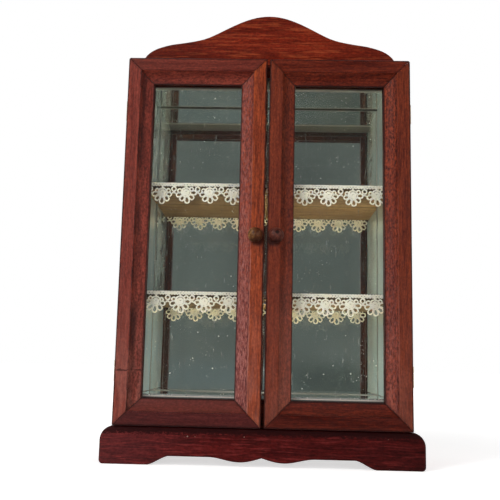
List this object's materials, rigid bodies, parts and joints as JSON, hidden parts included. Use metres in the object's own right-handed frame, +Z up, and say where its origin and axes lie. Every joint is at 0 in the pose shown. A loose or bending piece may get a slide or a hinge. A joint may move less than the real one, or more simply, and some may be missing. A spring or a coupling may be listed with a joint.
{
  "type": "display case",
  "caption": "Small table-top display case with a mirror-lined stained wood carcass, lace-edged shelves, a shaped pediment and plinth, and hinged glazed doors with turned knobs.",
  "frame": {"origin": "middle of the footprint on the surface that the case stands on", "axes": "+X to the viewer's right, +Y from the doors to the back, +Z up"},
  "size_m": [0.1826, 0.0754, 0.2697],
  "materials": {
    "mahogany": "red-brown mahogany stain under satin varnish",
    "dark_mahogany": "darker mahogany stain under satin varnish",
    "bare_wood": "bare pale wood",
    "mirror": "silvered glass with a slight grey-green cast",
    "glass": "clear float glass",
    "lace": "off-white cotton lace edging",
    "brass": "dull pressed brass",
    "steel": "plain plated steel"
  },
  "bodies": {
    "cabinet": {"left_side": "mahogany", "right_side": "mahogany", "top_board": "mahogany", "bottom_board": "mahogany", "back_panel": "bare_wood", "pediment": "mahogany", "plinth": "dark_mahogany", "back_mirror": "mirror", "floor_mirror": "mirror", "ceiling_mirror": "mirror", "left_lower_mirror": "mirror", "left_middle_mirror": "mirror", "left_upper_mirror": "mirror", "right_lower_mirror": "mirror", "right_middle_mirror": "mirror", "right_upper_mirror": "mirror", "lower_shelf": "bare_wood", "lower_lace": "lace", "upper_shelf": "bare_wood", "upper_lace": "lace", "left_upper_hinge_case_leaf": "brass", "left_upper_hinge_pin": "brass", "left_lower_hinge_case_leaf": "brass", "left_lower_hinge_pin": "brass", "left_catch_magnet": "steel", "right_upper_hinge_case_leaf": "brass", "right_upper_hinge_pin": "brass", "right_lower_hinge_case_leaf": "brass", "right_lower_hinge_pin": "brass", "right_catch_magnet": "steel"},
    "left_door": {"left_door_hinge_stile": "mahogany", "left_door_meeting_stile": "mahogany", "left_door_bottom_rail": "mahogany", "left_door_top_rail": "mahogany", "left_door_glass": "glass", "left_door_hinge_bead": "mahogany", "left_door_meeting_bead": "mahogany", "left_door_bottom_bead": "mahogany", "left_door_top_bead": "mahogany", "left_door_knob": "dark_mahogany", "left_door_strike": "steel", "left_upper_hinge_door_leaf": "brass", "left_lower_hinge_door_leaf": "brass"},
    "right_door": {"right_door_hinge_stile": "mahogany", "right_door_meeting_stile": "mahogany", "right_door_bottom_rail": "mahogany", "right_door_top_rail": "mahogany", "right_door_glass": "glass", "right_door_hinge_bead": "mahogany", "right_door_meeting_bead": "mahogany", "right_door_bottom_bead": "mahogany", "right_door_top_bead": "mahogany", "right_door_knob": "dark_mahogany", "right_door_strike": "steel", "right_upper_hinge_door_leaf": "brass", "right_lower_hinge_door_leaf": "brass"}
  },
  "joints": [
    {"name": "left_door_hinge", "type": "hinge", "parent": "cabinet", "child": "left_door", "pos_m": [-0.0851, -0.0184, 0.0214], "axis": [0, 0, -1], "range_deg": [0, 180]},
    {"name": "right_door_hinge", "type": "hinge", "parent": "cabinet", "child": "right_door", "pos_m": [0.0851, -0.0184, 0.0214], "axis": [0, 0, 1], "range_deg": [0, 180]}
  ]
}
